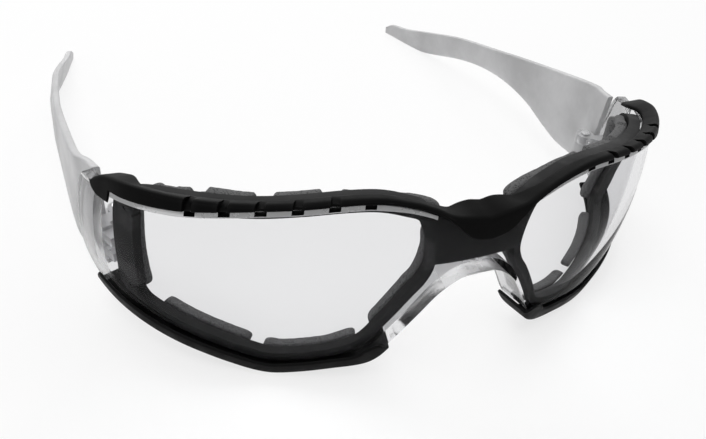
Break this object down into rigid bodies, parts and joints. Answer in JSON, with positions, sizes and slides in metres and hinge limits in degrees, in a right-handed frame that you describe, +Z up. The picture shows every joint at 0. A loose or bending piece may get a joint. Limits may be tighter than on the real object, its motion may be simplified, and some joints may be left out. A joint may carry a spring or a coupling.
{
  "type": "foam-lined safety glasses",
  "caption": "Wrap-around safety glasses with a clear wrap lens, a vented brow guard, bottom rims, a gasket frame with foam cushions and folding temples.",
  "frame": {"origin": "middle of the object's width and depth, on the plane that the bottom rims and temple tips rest on, with the temples open", "axes": "+X to the right as seen from the front, +Y from the front towards the temple tips, +Z up; left and right in the names are as seen from the front, as in the picture"},
  "size_m": [0.1412, 0.1586, 0.0454],
  "materials": {
    "clear_lens": "clear, polished",
    "clear_hinge": "clear, moulded",
    "brow_rubber": "soft matt",
    "gasket": "matt",
    "rim": "semi-gloss",
    "foam": "fine closed-cell foam",
    "temple": "smoke, translucent",
    "pin": "plain"
  },
  "bodies": {
    "front": {"lens": "clear_lens", "brow_guard": "brow_rubber", "gasket_frame": "gasket", "lower_rim_left": "rim", "lower_rim_right": "rim", "foam_top_left": "foam", "foam_top_right": "foam", "foam_side_left": "foam", "foam_side_right": "foam", "foam_lower_outer_left": "foam", "foam_lower_outer_right": "foam", "foam_lower_inner_left": "foam", "foam_lower_inner_right": "foam", "foam_nose_left": "foam", "foam_nose_right": "foam", "hinge_block_left": "clear_hinge", "hinge_block_right": "clear_hinge", "hinge_pin_left": "pin", "hinge_pin_right": "pin"},
    "left_temple": {"temple_left": "temple"},
    "right_temple": {"temple_right": "temple"}
  },
  "joints": [
    {"name": "right_temple_hinge", "type": "hinge", "parent": "front", "child": "right_temple", "pos_m": [0.0619, -0.03346, 0.0166], "axis": [0, 0, 1], "range_deg": [0, 90]},
    {"name": "left_temple_hinge", "type": "hinge", "parent": "front", "child": "left_temple", "pos_m": [-0.0619, -0.03346, 0.0166], "axis": [0, 0, -1], "range_deg": [0, 84]}
  ]
}
